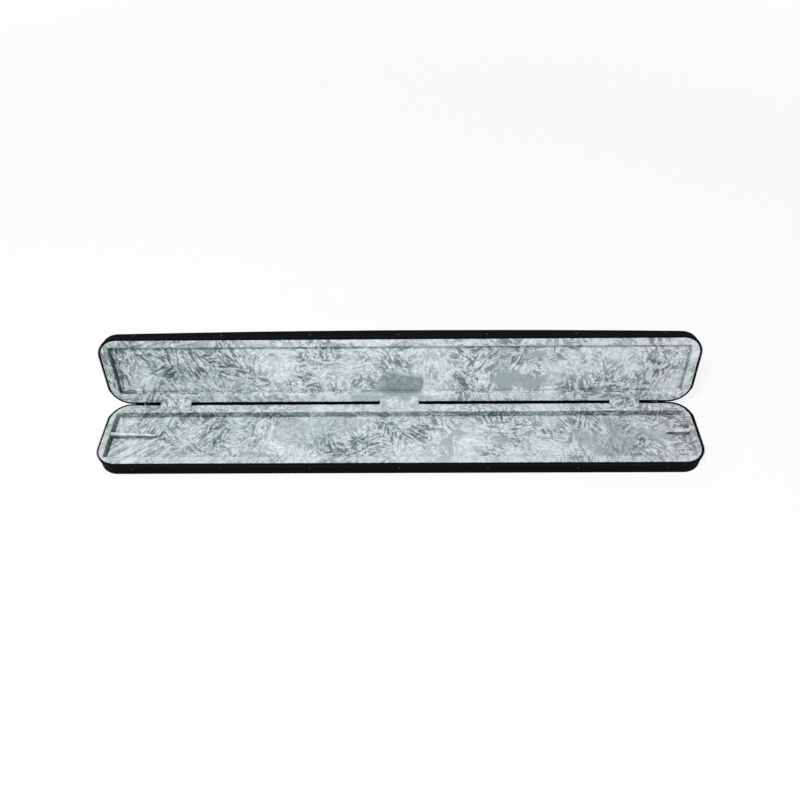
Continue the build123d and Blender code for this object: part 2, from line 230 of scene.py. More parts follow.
def turn_lid(points, angle):
    """Turns points of the closed lid about the hinge axis."""
    points = np.array(points, float)
    y = points[:, 1] - hinge_y
    z = points[:, 2] - hinge_z
    points[:, 1] = hinge_y + y * math.cos(angle) + z * math.sin(angle)
    points[:, 2] = hinge_z - y * math.sin(angle) + z * math.cos(angle)
    return points


def closed_box(node):
    """A lid node's lowest and highest corner with the lid closed."""
    points = [vertex.co / MM for vertex in frame["nodes"][node].data.vertices]
    points = turn_lid(points, -open_angle)
    return points.min(0), points.max(0)


lid_pad_low, lid_pad_high = closed_box("lid_panel_pad")
lid_inset = (lid_pad_low[1] + half_width, half_length - lid_pad_high[0], half_width - lid_pad_high[1])
lid_floor_depth = lid_pad_low[2] - hinge_z
lid_middle_depth = closed_box("lid_cover_panel")[1][2] - hinge_z
lid_lining_bottom = closed_box("lid_lining_front")[1][2] - hinge_z
crown_radius = (half_length**2 + lid_crown**2) / (2 * lid_crown)


def crown_depth(x, drop=0.0):
    """Depth of the lid's crowned surface, or of one this far below it, at this place along the case."""
    radius = crown_radius - drop
    return lid_middle_depth - crown_radius + np.sqrt(radius**2 - np.asarray(x, float) ** 2)


def make_camera():
    flat = math.cos(camera_elevation)
    back = Vector((math.sin(camera_turn) * flat, -math.cos(camera_turn) * flat, math.sin(camera_elevation)))
    target = Vector((camera_target_x, hinge_y, hinge_z))
    right = (-back).cross(Vector((0, 0, 1))).normalized()
    up = right.cross(-back)
    turned_right = math.cos(camera_roll) * right + math.sin(camera_roll) * up
    turned_up = -math.sin(camera_roll) * right + math.cos(camera_roll) * up
    data = bpy.data.cameras.new("photo_camera")
    data.sensor_width = sensor_width
    data.lens = focal_length_px * sensor_width / picture_size_px
    data.shift_x = (picture_size_px / 2 - principal_point_px[0]) / picture_size_px
    data.shift_y = (principal_point_px[1] - picture_size_px / 2) / picture_size_px
    data.clip_start = 0.01
    matrix = Matrix((turned_right, turned_up, back)).transposed().to_4x4()
    matrix.translation = (target + back * camera_distance) * MM
    scene.camera = link("photo_camera", data)
    scene.camera.matrix_world = matrix


make_camera()


# Materials

def fill(tree, node, inputs):
    """Gives a shader node its inputs. Each is a plain value or another node's output."""
    for key, value in inputs.items():
        if isinstance(value, bpy.types.NodeSocket):
            tree.links.new(value, node.inputs[key])
        else:
            node.inputs[key].default_value = value


def add(tree, kind, inputs=None, **settings):
    made = tree.nodes.new(kind)
    for key, value in settings.items():
        setattr(made, key, value)
    fill(tree, made, inputs or {})
    return made


def sums(tree, operation, *values, clamp=False):
    made = add(tree, "ShaderNodeMath", dict(enumerate(values)), operation=operation, use_clamp=clamp)
    return made.outputs[0]


def times(tree, *values):
    return sums(tree, "MULTIPLY", *values)


def minus(tree, *values):
    return sums(tree, "SUBTRACT", *values)


def times_plus(tree, *values):
    """The first value times the second, plus the third."""
    return sums(tree, "MULTIPLY_ADD", *values)


def vectors(tree, operation, *values):
    """A sum with vectors. A dot product or a length gives a number."""
    made = add(tree, "ShaderNodeVectorMath", dict(enumerate(values)), operation=operation)
    return made.outputs["Value" if operation in ("DOT_PRODUCT", "LENGTH") else "Vector"]


def toward(tree, tone, target, share):
    """The tone taken this share of the way to another."""
    return times_plus(tree, minus(tree, target, tone), share, tone)


def varied(tree, tone, value, amount):
    """The tone made lighter where the value is over one half, and darker where it is under."""
    return times_plus(tree, minus(tree, value, 0.5), amount, tone)


def remap(tree, value, low, high, to_low=0.0, to_high=1.0, kind="LINEAR"):
    inputs = {"Value": value, "From Min": low, "From Max": high, "To Min": to_low, "To Max": to_high}
    return add(tree, "ShaderNodeMapRange", inputs, interpolation_type=kind).outputs[0]


def fade(tree, value, low, high, to_low=0.0, to_high=1.0):
    """A remap with soft ends."""
    return remap(tree, value, low, high, to_low, to_high, "SMOOTHSTEP")


def ramp(tree, value, stops):
    made = add(tree, "ShaderNodeValToRGB", {"Fac": value})
    elements = made.color_ramp.elements
    while len(elements) < len(stops):
        elements.new(0.5)
    for element, (place, color) in zip(elements, stops):
        element.position = place
        element.color = (*color, 1)
    return made.outputs["Color"]


def noise_value(tree, vector, scale, detail=2.0, roughness=0.5, distortion=0.0):
    inputs = dict(Vector=vector, Scale=scale, Detail=detail, Roughness=roughness, Distortion=distortion)
    return add(tree, "ShaderNodeTexNoise", inputs).outputs["Fac"]


def turned_about(tree, vector, axis, angle):
    inputs = {"Vector": vector, "Axis": axis, "Angle": angle}
    return add(tree, "ShaderNodeVectorRotate", inputs, rotation_type="AXIS_ANGLE").outputs["Vector"]


def bump(tree, height, strength, distance):
    inputs = {"Height": height, "Strength": strength, "Distance": distance * MM}
    return add(tree, "ShaderNodeBump", inputs).outputs["Normal"]


def parts_of(tree, vector):
    return add(tree, "ShaderNodeSeparateXYZ", {"Vector": vector}).outputs


def new_material(name):
    """A material with its tree, its shader and its coordinates in millimetres."""
    material = bpy.data.materials.new(name)
    material.use_nodes = True
    tree = material.node_tree
    shader = tree.nodes["Principled BSDF"]
    coordinates = add(tree, "ShaderNodeTexCoord").outputs["Object"]
    return material, tree, shader, vectors(tree, "MULTIPLY", coordinates, (1 / MM,) * 3)


def strokes(tree, vector, axis, kind, grain, shift):
    """Short brushed strokes that change direction with each crushed patch, and a number for each patch."""
    cell, length, width = (size * grain for size in kind[:3])
    moved = vectors(tree, "ADD", vector, (shift, *kind[3]))
    wobble = add(tree, "ShaderNodeTexNoise", {"Vector": moved, "Scale": 2.0 / cell, "Detail": 2.0})
    centred = vectors(tree, "SUBTRACT", wobble.outputs["Color"], (0.5,) * 3)
    warped = vectors(tree, "ADD", moved, vectors(tree, "MULTIPLY", centred, (cell * patch_wander,) * 3))
    patches = add(tree, "ShaderNodeTexVoronoi", {"Vector": warped, "Scale": 1 / cell})
    parts = add(tree, "ShaderNodeSeparateColor", {"Color": patches.outputs["Color"]})
    turned = turned_about(tree, moved, axis, times(tree, parts.outputs[0], 2 * math.pi))
    stretched = vectors(tree, "MULTIPLY", turned, (1 / length, 1 / width, 1 / width))
    return noise_value(tree, stretched, 1.0, 0.9, 0.5, 0.75), parts.outputs[1]


def fold_marks(tree, vector):
    """Long slanting folds in the base's floor, in front of the tongue at the left end: a calmer patch, and
    streaks of painted light and shade that stand in for folds the mesh doesn't have.
    """
    from_middle = vectors(tree, "SUBTRACT", vector, (*fold_place, 0))
    scaled = vectors(tree, "MULTIPLY", from_middle, (1 / fold_reach[0], 1 / fold_reach[1], 0))
    inside = fade(tree, vectors(tree, "LENGTH", scaled), 1.15, 0.6)
    turned = turned_about(tree, vector, (0, 0, 1), -fold_slant)
    stretched = vectors(tree, "MULTIPLY", turned, (1 / fold_size[0], 1 / fold_size[1], 0))
    painted_fold_shading = noise_value(tree, stretched, 1.0, 1.5, 0.5, 0.3)
    return inside, fade(tree, painted_fold_shading, 0.34, 0.62, -1.0, 1.0)


def pressed_spot(tree, vector, away, ragged, along, out, half_along, half_out, strength):
    """An oval place with a ragged edge where the pile is pressed smooth. out is its distance from the hinge
    axis. A strength of 1 takes the tone to calm_tone, and more takes it beyond."""
    x = sums(tree, "DIVIDE", minus(tree, parts_of(tree, vector)[0], along), half_along)
    hinge = Vector(away).dot((0, hinge_y, hinge_z))
    distance = vectors(tree, "DOT_PRODUCT", vector, away)
    distance = sums(tree, "DIVIDE", minus(tree, distance, hinge + out), half_out)
    square = times_plus(tree, x, x, times(tree, distance, distance))
    edge = times_plus(tree, minus(tree, 0.5, ragged), pressed_raggedness, sums(tree, "SQRT", square))
    return fade(tree, edge, 1.20, 0.75, 0.0, strength)


def velvet_material(
    name, axis, shift, lit_wall, wall_shade, left_shade, level=0.70, grain=1.0, contrast=1.0, rim_calm=0.0,
    folds=False, away=(0, -1, 0), pressed=(),
):
    """Crushed velvet. axis is the direction that the cloth faces. Faces that turn away from axis, such as
    the walls and the tongues' sides, get painted shade of up to wall_shade, but not a wall that faces the
    way of lit_wall. level is the tone between the marks, grain the size of the marks, contrast their
    strength and rim_calm how far they fade on the rim. away is the direction from the hinge to the front
    along the cloth, for the pressed places."""
    material, tree, shader, vector = new_material(name)
    dashes, _ = strokes(tree, vector, axis, dash_kind, grain, shift)
    hairs, hair_patch = strokes(tree, vector, axis, hair_kind, grain, shift)
    flecks, fleck_patch = strokes(tree, vector, axis, fleck_kind, grain, shift)

    broad = noise_value(tree, vector, 1 / broad_size, 2.0)
    clouds = noise_value(tree, vector, 1 / cloud_size, 2.5, 0.5, 0.6)
    calm = fade(tree, clouds, 0.63, 0.72, 0.0, 0.8)
    for spot in pressed:
        calm = sums(tree, "MAXIMUM", calm, pressed_spot(tree, vector, away, clouds, *spot))
    busy = remap(tree, broad, 0.40, 0.60, 1.05 * contrast, 0.42 * contrast)
    dark = fade(tree, dashes, 0.42, 0.54, 1.0, 0.0)
    line = sums(tree, "ABSOLUTE", minus(tree, hairs, 0.5))
    line = fade(tree, line, 0.0, 0.045, 1.0, 0.0)
    light = fade(tree, flecks, 0.52, 0.66)
    marks = sums(tree, "MAXIMUM", times(tree, line, line_strength), times(tree, dark, dash_strength))

    tone = minus(tree, level, times(tree, marks, busy))
    tone = times_plus(tree, light, fleck_strength * contrast, tone)
    tone = varied(tree, tone, broad, broad_change)
    tone = varied(tree, tone, fleck_patch, patch_change)
    tone = toward(tree, tone, calm_tone, calm)
    pile = noise_value(tree, vector, 1.3, 2.0)
    tone = varied(tree, tone, pile, pile_change)
    along = parts_of(tree, vector)[0]
    tone = minus(tree, tone, fade(tree, along, *left_shade_run, 0.0, left_shade))
    # Painted folds: a calmer patch, with lighter and darker streaks as painted light and shade for folds
    # the mesh doesn't have.
    if folds:
        inside, painted_fold_shading = fold_marks(tree, vector)
        tone = toward(tree, tone, fold_tone, times(tree, inside, fold_calm))
        tone = times_plus(tree, painted_fold_shading, times(tree, inside, fold_shading_strength), tone)

    height = vectors(tree, "DOT_PRODUCT", vector, axis)
    parting = Vector(axis).dot((0, hinge_y, hinge_z))
    on_rim = fade(tree, height, parting - rim_fade[0], parting - rim_fade[1])
    tone = toward(tree, tone, rim_tone, times(tree, on_rim, rim_calm))
    # Painted shade: faces turned away from axis, such as the recess walls and the tongues' sides, are made
    # darker by up to wall_shade, and less so where they face lit_wall.
    normal = add(tree, "ShaderNodeTexCoord").outputs["Normal"]
    facing = sums(tree, "ABSOLUTE", vectors(tree, "DOT_PRODUCT", normal, axis))
    painted_wall_shade = fade(tree, facing, 0.80, 0.25, 0.0, wall_shade)
    lit = vectors(tree, "DOT_PRODUCT", normal, lit_wall)
    painted_wall_shade = times(tree, painted_wall_shade, remap(tree, lit, 0.3, 0.8, 1.0, 0.0))
    tone = minus(tree, tone, painted_wall_shade)

    cool = ramp(tree, tone, velvet_tones)
    warm = add(tree, "ShaderNodeHueSaturation", {"Hue": 0.62, "Saturation": 0.55, "Color": cool}).outputs[0]
    warmth = times(tree, fade(tree, along, *warm_run, 0.1, 1.0), hair_patch)
    warmth = sums(tree, "MULTIPLY_ADD", on_rim, rim_warmth * rim_calm, warmth, clamp=True)
    mixed = add(tree, "ShaderNodeMix", {0: warmth, 6: cool, 7: warm}, data_type="RGBA").outputs[2]
    nap = times_plus(tree, pile, 0.25, minus(tree, light, line))
    inputs = {"Base Color": mixed, "Normal": bump(tree, nap, 0.3, 0.3), "Roughness": 0.82}
    fill(tree, shader, {**inputs, "Specular IOR Level": 0.15, "Sheen Weight": 0.12})
    fill(tree, shader, {"Sheen Roughness": 0.45, "Sheen Tint": (0.86, 0.95, 0.94, 1)})
    return material


def woven_material(name, dark, light, thread, strength, roughness):
    """A plain weave of fine threads, with faint scuffs."""
    material, tree, shader, vector = new_material(name)
    waves = [sums(tree, "SINE", times(tree, part, math.pi / thread)) for part in parts_of(tree, vector)]
    weave = sums(tree, "ADD", sums(tree, "ADD", waves[0], waves[1]), waves[2])
    scuff = noise_value(tree, vector, 0.06, 4.0, 0.6)
    speck = noise_value(tree, vector, 0.9, 3.0, 0.6)
    tone = times_plus(tree, weave, 0.10, times(tree, scuff, 0.6))
    tone = times_plus(tree, speck, 0.35, tone)
    color = ramp(tree, tone, [(0.15, dark), (0.85, light)])
    normal = bump(tree, times_plus(tree, speck, 0.6, weave), strength, 0.12)
    rough = remap(tree, scuff, 0.3, 0.7, roughness - 0.08, roughness + 0.08)
    fill(tree, shader, {"Base Color": color, "Normal": normal, "Roughness": rough})
    fill(tree, shader, {"IOR": 1.1, "Specular IOR Level": 0.3})
    return material


def metal_material(name, color, roughness, grain):
    """Plated metal with fine brushing along its length and a few dull spots."""
    material, tree, shader, vector = new_material(name)
    brush = noise_value(tree, vectors(tree, "MULTIPLY", vector, grain), 1.0, 3.0)
    spots = noise_value(tree, vector, 0.5, 3.0, 0.6)
    dull = tuple(value * 0.72 for value in color)
    mixed = times_plus(tree, spots, 0.7, times(tree, brush, 0.3))
    plated = ramp(tree, mixed, [(0.3, dull), (0.7, color)])
    rough = remap(tree, spots, 0.3, 0.75, roughness + 0.12, roughness - 0.05)
    inputs = {"Base Color": plated, "Roughness": rough, "Normal": bump(tree, brush, 0.2, 0.05)}
    fill(tree, shader, {**inputs, "Metallic": 1.0})
    return material


def wood_material(name, dark, light, ring_scale, streak):
    """Bare wood with grain along the case."""
    material, tree, shader, vector = new_material(name)
    stretched = vectors(tree, "MULTIPLY", vector, (ring_scale * streak, ring_scale, ring_scale))
    grain = noise_value(tree, stretched, 1.0, 5.0, 0.6, 1.2)
    fibre = noise_value(tree, vectors(tree, "MULTIPLY", vector, (0.08, 3.0, 3.0)), 1.0, 3.0)
    tone = times_plus(tree, fibre, 0.35, times(tree, grain, 0.75))
    color = ramp(tree, tone, [(0.3, dark), (0.75, light)])
    fill(tree, shader, {"Base Color": color, "Normal": bump(tree, fibre, 0.3, 0.1), "Roughness": 0.75})
    return material


lid_facing = (0, -math.sin(open_angle), -math.cos(open_angle))
lid_back_wall_facing = (0, -math.cos(open_angle), math.sin(open_angle))
strip_facing = (0, math.cos(fold_direction), math.sin(fold_direction))
velvet_base = velvet_material(
    "velvet_base", (0, 0, 1), 0.0, (-1, 0, 0), 0.28, 0.08, level=0.686, grain=0.85, contrast=1.10,
    rim_calm=0.3, folds=True, pressed=base_pressed,
)
velvet_lid = velvet_material(
    "velvet_lid", lid_facing, 500.0, lid_back_wall_facing, 0.32, 0.17, level=0.720, contrast=1.13,
    rim_calm=0.25, away=lid_back_wall_facing, pressed=lid_pressed,
)
velvet_strip = velvet_material(
    "velvet_strip", strip_facing, 900.0, strip_facing, 0.0, 0.0, level=0.64, grain=0.8, contrast=0.9,
)
# The tongues' velvet: strong painted shade (wall_shade 0.55) on their fronts and sides, and a lighter level
# that keeps their rounded tops light under that painted shade.
velvet_tongue = velvet_material(
    "velvet_tongue", (0, 0, 1), 250.0, (-1, 0, 0), 0.55, 0.0, level=0.80, contrast=0.6,
)
nylon = woven_material("cover_nylon", (0.0010, 0.0012, 0.0013), (0.0050, 0.0057, 0.0062), 0.55, 0.5, 0.62)
tape_cloth = woven_material("zip_tape", (0.0022, 0.0032, 0.0042), (0.0090, 0.0115, 0.0140), 0.4, 0.6, 0.68)
coil_nylon = woven_material("zip_coil", (0.0020, 0.0020, 0.0022), (0.0055, 0.0055, 0.006), 0.35, 0.25, 0.45)
thread = woven_material("stitch_thread", (0.0080, 0.0082, 0.0090), (0.0200, 0.0205, 0.0220), 0.2, 0.4, 0.6)
nickel = metal_material("nickel", (0.72, 0.71, 0.69), 0.24, (0.4, 6.0, 6.0))
screw_black = metal_material("screw_black", (0.034, 0.036, 0.039), 0.42, (2.0, 2.0, 2.0))
# A darker copy of the black screw metal for the base's front row of cover screws: painted shade.
screw_black_shaded = metal_material("screw_black_shaded", (0.023, 0.024, 0.026), 0.46, (2.0, 2.0, 2.0))
hinge_zinc = metal_material("hinge_zinc", (0.60, 0.60, 0.58), 0.32, (0.3, 5.0, 5.0))
frame_wood = wood_material("frame_wood", (0.42, 0.27, 0.14), (0.68, 0.50, 0.31), 0.14, 0.05)
plywood = wood_material("plywood", (0.48, 0.33, 0.19), (0.72, 0.56, 0.37), 0.09, 0.08)

hinge_pieces = ("base_leaf", "lid_leaf", "pin")
node_materials = {
    frame_wood: ["base_frame", "lid_frame"],
    plywood: ["base_panel", "lid_panel"],
    screw_black_shaded: ["base_cover_screws"],
    screw_black: ["lid_cover_screws", "base_leaf_screws", "lid_leaf_screws"],
    nickel: ["zip_end_stops", "zip_slider_left", "zip_slider_right", "zip_pull_left", "zip_pull_right"],
    hinge_zinc: [f"hinge_{place}_{piece}" for place in hinge_places for piece in hinge_pieces],
}
for material, nodes in node_materials.items():
    for node in nodes:
        slots = frame["nodes"][node].data.materials
        slots.clear()
        slots.append(material)


# Outlines and meshes

def line_places(start):
    """Places along a long side whose straight part ends at this distance from the middle."""
    ends = np.linspace(start, straight_half, end_steps, endpoint=False)
    return np.concatenate([-ends, fixed_places, ends[::-1]])


def make_fixed_places():
    """Even places along the middle of a long side, with some moved to the edges of the hinge covers."""
    count = int(2 * straight_half / straight_step)
    places = np.linspace(-straight_half, straight_half, count + 1)
    for name, middle in hinge_places.items():
        for side in (-1, 1):
            for past in places_past_cover:
                wanted = middle + side * (hinge_cover_widths[name] / 2 + past)
                places[np.argmin(abs(places - wanted))] = wanted
    return np.sort(places)


fixed_places = make_fixed_places()


def arc_points(centre_x, centre_y, radius, start):
    angles = start + np.linspace(0, math.pi / 2, arc_steps + 1)[1:-1]
    return [(centre_x + radius * math.cos(a), centre_y + radius * math.sin(a)) for a in angles]


def outline(front, ends, back, front_radius, back_radius):
    """Points round a rounded outline, set in from the cover's faces by these distances."""
    side = half_length - ends
    low = front - half_width
    high = half_width - back
    front_x, front_y = side - front_radius, low + front_radius
    back_x, back_y = side - back_radius, high - back_radius
    points = [(x, low) for x in line_places(front_x)]
    points += arc_points(front_x, front_y, front_radius, -math.pi / 2)
    points += [(side, y) for y in np.linspace(front_y, back_y, short_steps)]
    points += arc_points(back_x, back_y, back_radius, 0)
    points += [(x, high) for x in line_places(back_x)[::-1]]
    points += arc_points(-back_x, back_y, back_radius, math.pi / 2)
    points += [(-side, y) for y in np.linspace(back_y, front_y, short_steps)]
    points += arc_points(-front_x, front_y, front_radius, math.pi)
    return np.array(points)


def inset_outline(inset):
    return outline(inset, inset, inset, front_corner_radius - inset, back_corner_radius - inset)


def level(points, depth):
    """An outline at a depth, which is one number or one for each point."""
    depths = np.broadcast_to(np.asarray(depth, float), len(points))
    return np.column_stack([points, depths])


def in_base(points):
    points = np.array(points, float)
    points[:, 2] = hinge_z - points[:, 2]
    return points


def in_lid(points):
    points = np.array(points, float)
    points[:, 2] = hinge_z + points[:, 2]
    return turn_lid(points, open_angle)


def mesh_object(name, points, faces, material, merge=0.001):
    """A smooth mesh with its faces turned outwards, from points in millimetres."""
    data = bpy.data.meshes.new(name)
    data.from_pydata((np.asarray(points) * MM).tolist(), [], faces)
    mesh = bmesh.new()
    mesh.from_mesh(data)
    if merge:
        bmesh.ops.remove_doubles(mesh, verts=mesh.verts, dist=merge * MM)
        bmesh.ops.dissolve_degenerate(mesh, edges=mesh.edges, dist=merge * MM / 10)
    bmesh.ops.recalc_face_normals(mesh, faces=mesh.faces)
    for face in mesh.faces:
        face.smooth = True
    mesh.to_mesh(data)
    mesh.free()
    data.materials.append(material)
    return link(name, data)


def ring_faces(rows, columns, close_rows=True, close_columns=True):
    """The faces between rows of points, which can close on themselves either way."""
    faces = []
    for row in range(rows if close_rows else rows - 1):
        above = row * columns
        below = (row + 1) % rows * columns
        for column in range(columns if close_columns else columns - 1):
            beside = (column + 1) % columns
            faces.append((above + column, above + beside, below + beside, below + column))
    return faces


def lofted(name, loops, place, material, closed=True):
    """A ring of skin through closed loops. closed joins the last loop to the first."""
    faces = ring_faces(len(loops), len(loops[0]), close_rows=closed)
    return mesh_object(name, place(np.concatenate(loops)), faces, material)


def relief(point, scale):
    return noise.fractal(point / scale, 0.9, 2.1, 2, noise_basis="PERLIN_ORIGINAL")


def displace(made, amount):
    """Moves every vertex along its normal by amount(point). Points and amounts are in millimetres."""
    vertices = made.data.vertices
    places = np.empty(3 * len(vertices))
    normals = np.empty(3 * len(vertices))
    vertices.foreach_get("co", places)
    vertices.foreach_get("normal", normals)
    points = places.reshape(-1, 3) / MM
    amounts = np.array([amount(Vector(point)) for point in points])
    points += normals.reshape(-1, 3) * amounts[:, None]
    vertices.foreach_set("co", (points * MM).ravel())
    made.data.update()


def crush(made, amounts, seed):
    """Moves the skin of a velvet piece in and out, as crushed pile lies."""
    fine, broad = amounts
    shift = Vector((seed, 2 * seed, 3 * seed))

    def amount(point):
        ridge = 1 - 2 * abs(relief(point + shift, crush_sizes[0]))
        return fine * min(ridge, 1) - fine + broad * relief(point - shift, crush_sizes[1])

    displace(made, amount)


def slacken(made, height, size, drop):
    """Lets taut cloth dip inwards here and there, never outwards."""
    displace(made, lambda point: min(0.0, height * relief(point, size) - drop))


# Velvet linings

def rim_outline(body, inward):
    """The outer edge of the rim's velvet, or this much inside it. It draws back towards the hinges, and on
    the base also towards the right end."""
    front = inset_outline(velvet_edge[body] + inward)
    back = inset_outline(velvet_edge_back + inward)
    share = np.interp(front[:, 1], velvet_edge_change, (0, 1))[:, None]
    edge = front + (back - front) * share
    if body == "base":
        edge[:, 0] -= np.interp(edge[:, 0], (half_length - right_draw_reach, half_length), (0, right_draw))
    return edge


def wall_outline(inset, outward):
    front, ends, back = inset
    radius = lining_corner_radius + outward
    return outline(front - outward, ends - outward, back - outward, radius, radius)


def at_covers(points, start, clearance):
    """Marks the points behind start that a hinge cover, or this much more, passes over."""
    marked = np.zeros(len(points), bool)
    for name, place in hinge_places.items():
        marked |= abs(points[:, 0] - place) < hinge_cover_widths[name] / 2 + clearance
    return marked & (points[:, 1] > start)


def notch_back(loop):
    """Pulls the rim's back edge away from under the hinge covers."""
    loop = loop.copy()
    edge = hinge_y - hinge_notch_reach
    loop[at_covers(loop, edge, 0.2), 1] = edge
    return loop


def wall_lining(name, inset, floor_depth, bottom_depth, place, material, body, nodes, seed):
    """The velvet on the inner walls, folded over the rim and glued to the frame behind."""
    under_rim = rim_gap + rim_velvet
    outer = rim_outline(body, rim_flat[0])
    inner = wall_outline(inset, rim_flat[1])
    loops = [level(rim_outline(body, 0), under_rim)]
    loops += [level(rim_outline(body, inward), depth) for inward, depth in rim_outside]
    loops.append(level(outer, rim_gap + 0.02))
    for row in range(1, rim_rows):
        share = row / rim_rows
        loops.append(level((1 - share) * outer + share * inner, rim_gap))
    loops.append(level(inner, rim_gap + 0.05))
    loops += [level(wall_outline(inset, outward), depth) for outward, depth in rim_inside]
    wall = wall_outline(inset, 0)
    wall_depths = np.arange(wall_straight_start, floor_depth + pad_edge_rise, wall_step)
    loops += [level(wall, depth) for depth in (*wall_depths, bottom_depth)]
    frame_inset = (cover + front_rail, cover + end_wall, cover + back_rail)
    frame_inner = outline(*frame_inset, frame_corner_radius, frame_corner_radius)
    loops += [level(frame_inner, bottom_depth), level(frame_inner, under_rim)]
    made = lofted(name, [notch_back(loop) for loop in loops], place, material)
    crush(made, wall_crush, seed)
    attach(made, body)
    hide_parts(*nodes)


def floor_pad(name, inset, floor_depth, place, material, body, node, seed):
    """The padded floor, tucked under the wall lining all round."""
    front, ends, back = inset
    tuck = 0.5
    side = half_length - ends + tuck
    low = front - half_width - tuck
    high = half_width - back + tuck
    xs = np.linspace(-side, side, int(2 * side / pad_step) + 1)
    ys = np.linspace(low, high, int((high - low) / pad_step) + 1)
    grid_x, grid_y = np.meshgrid(xs, ys, indexing="ij")
    to_wall = np.minimum(np.minimum(side - abs(grid_x), grid_y - low), high - grid_y) - tuck
    top = floor_depth + pad_edge_rise * np.exp(-np.maximum(to_wall, 0) / pad_edge_fade)
    bottom = base_board_depth + 0 * grid_x if body == "base" else crown_depth(grid_x, cover + board)
    sides = [np.column_stack([part.ravel() for part in (grid_x, grid_y, depth)]) for depth in (top, bottom)]
    count = grid_x.size
    faces = ring_faces(*grid_x.shape, False, False)
    faces += [tuple(index + count for index in face) for face in faces]
    grid = np.arange(count).reshape(grid_x.shape)
    border = [*grid[:, 0], *grid[-1, 1:], *grid[-2::-1, -1], *grid[0, -2:0:-1]]
    for first, second in zip(border, border[1:] + border[:1]):
        faces.append((first, second, second + count, first + count))
    made = mesh_object(name, place(np.concatenate(sides)), faces, material)
    crush(made, pad_crush, seed)
    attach(made, body)
    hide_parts(node)


walls = ("front", "back", "left", "right")
wall_lining(
    "base_wall_velvet", base_inset, base_floor_depth, base_board_depth, in_base, velvet_base, "base",
    [f"base_lining_{wall}" for wall in walls], 11.0,
)
wall_lining(
    "lid_wall_velvet", lid_inset, lid_floor_depth, lid_lining_bottom, in_lid, velvet_lid, "lid",
    [f"lid_lining_{wall}" for wall in walls], 47.0,
)
floor_pad(
    "base_floor_velvet", base_inset, base_floor_depth, in_base, velvet_base, "base", "base_floor_pad", 5.0,
)
floor_pad(
    "lid_floor_velvet", lid_inset, lid_floor_depth, in_lid, velvet_lid, "lid", "lid_panel_pad", 71.0,
)


def squared(value, power):
    """A sine or cosine for a section that is squarer than round."""
    return math.copysign(abs(value) ** power, value)


def tongue(name, node, side, heights, half_widths, wander):
    """A padded tongue that tapers away from the end wall. side is the end that it grows from."""
    low, high = box_mm(node)
    length = high.x - low.x
    into_wall = 1.0
    tip_height = 0.55
    underside = 0.8
    root_x = side * (half_length - base_inset[1])
    y = (low.y + high.y) / 2
    loops = []
    for row in range(tongue_rows + 1):
        share = row / tongue_rows
        x = root_x + side * (into_wall - share * (length + into_wall))
        to_tip = (1 - share) * length
        height = heights[0] + (heights[1] - heights[0]) * share
        half = half_widths[0] + (half_widths[1] - half_widths[0]) * share
        round_off = math.sqrt(max(0.0, 1 - max(0.0, 1 - to_tip / half) ** 2))
        half = max(half * round_off, 0.05)
        height *= tip_height + (1 - tip_height) * round_off
        sway = wander * (math.sin(share * 6.0 + side) + 0.5 * math.sin(share * 17.0)) * share
        loop = []
        for step in range(tongue_around):
            angle = 2 * math.pi * step / tongue_around
            across = squared(math.cos(angle), 0.7) * half
            up = squared(math.sin(angle), 0.75)
            rise = up * (height if up > 0 else underside)
            loop.append((x, y + sway + across, base_floor_depth - rise))
        loops.append(loop)
    faces = ring_faces(tongue_rows + 1, tongue_around, False, True)
    faces.append(tuple(range(tongue_around)))
    faces.append(tuple(tongue_rows * tongue_around + step for step in range(tongue_around)))
    made = mesh_object(name, in_base(np.concatenate(loops)), faces, velvet_tongue)
    crush(made, tongue_crush, 23.0 + side)
    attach(made, "base")
    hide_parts(node)


tongue("frog_divider_velvet", "frog_divider", -1, (8.2, 4.4), (3.9, 2.2), 0.55)
tongue("tip_divider_velvet", "tip_divider", 1, (7.6, 5.0), (3.9, 2.6), 0.3)


# Strips across the hinge line

def mirrored_in_fold(point):
    """Takes a (y, z) point off the hinge axis on the base's side to its twin on the open lid's side."""
    direction = np.array((math.cos(fold_direction), math.sin(fold_direction)))
    return 2 * np.dot(point, direction) * direction - point


def bridge(far, near, handle, straight_steps, curve_steps):
    """A smooth (y, z) route from the base's side, straight from far to near and then over to the lid."""
    far, near = np.array(far), np.array(near)
    along = (near - far) / np.linalg.norm(near - far)
    first = near + along * handle
    corners = (near, first, mirrored_in_fold(first), mirrored_in_fold(near))
    route = [far + (near - far) * step / straight_steps for step in range(straight_steps)]
    back = [mirrored_in_fold(point) for point in route[::-1]]
    for step in range(curve_steps + 1):
        t = step / curve_steps
        weights = ((1 - t) ** 3, 3 * t * (1 - t) ** 2, 3 * t**2 * (1 - t), t**3)
        route.append(sum(weight * corner for weight, corner in zip(weights, corners)))
    return np.array(route + back)


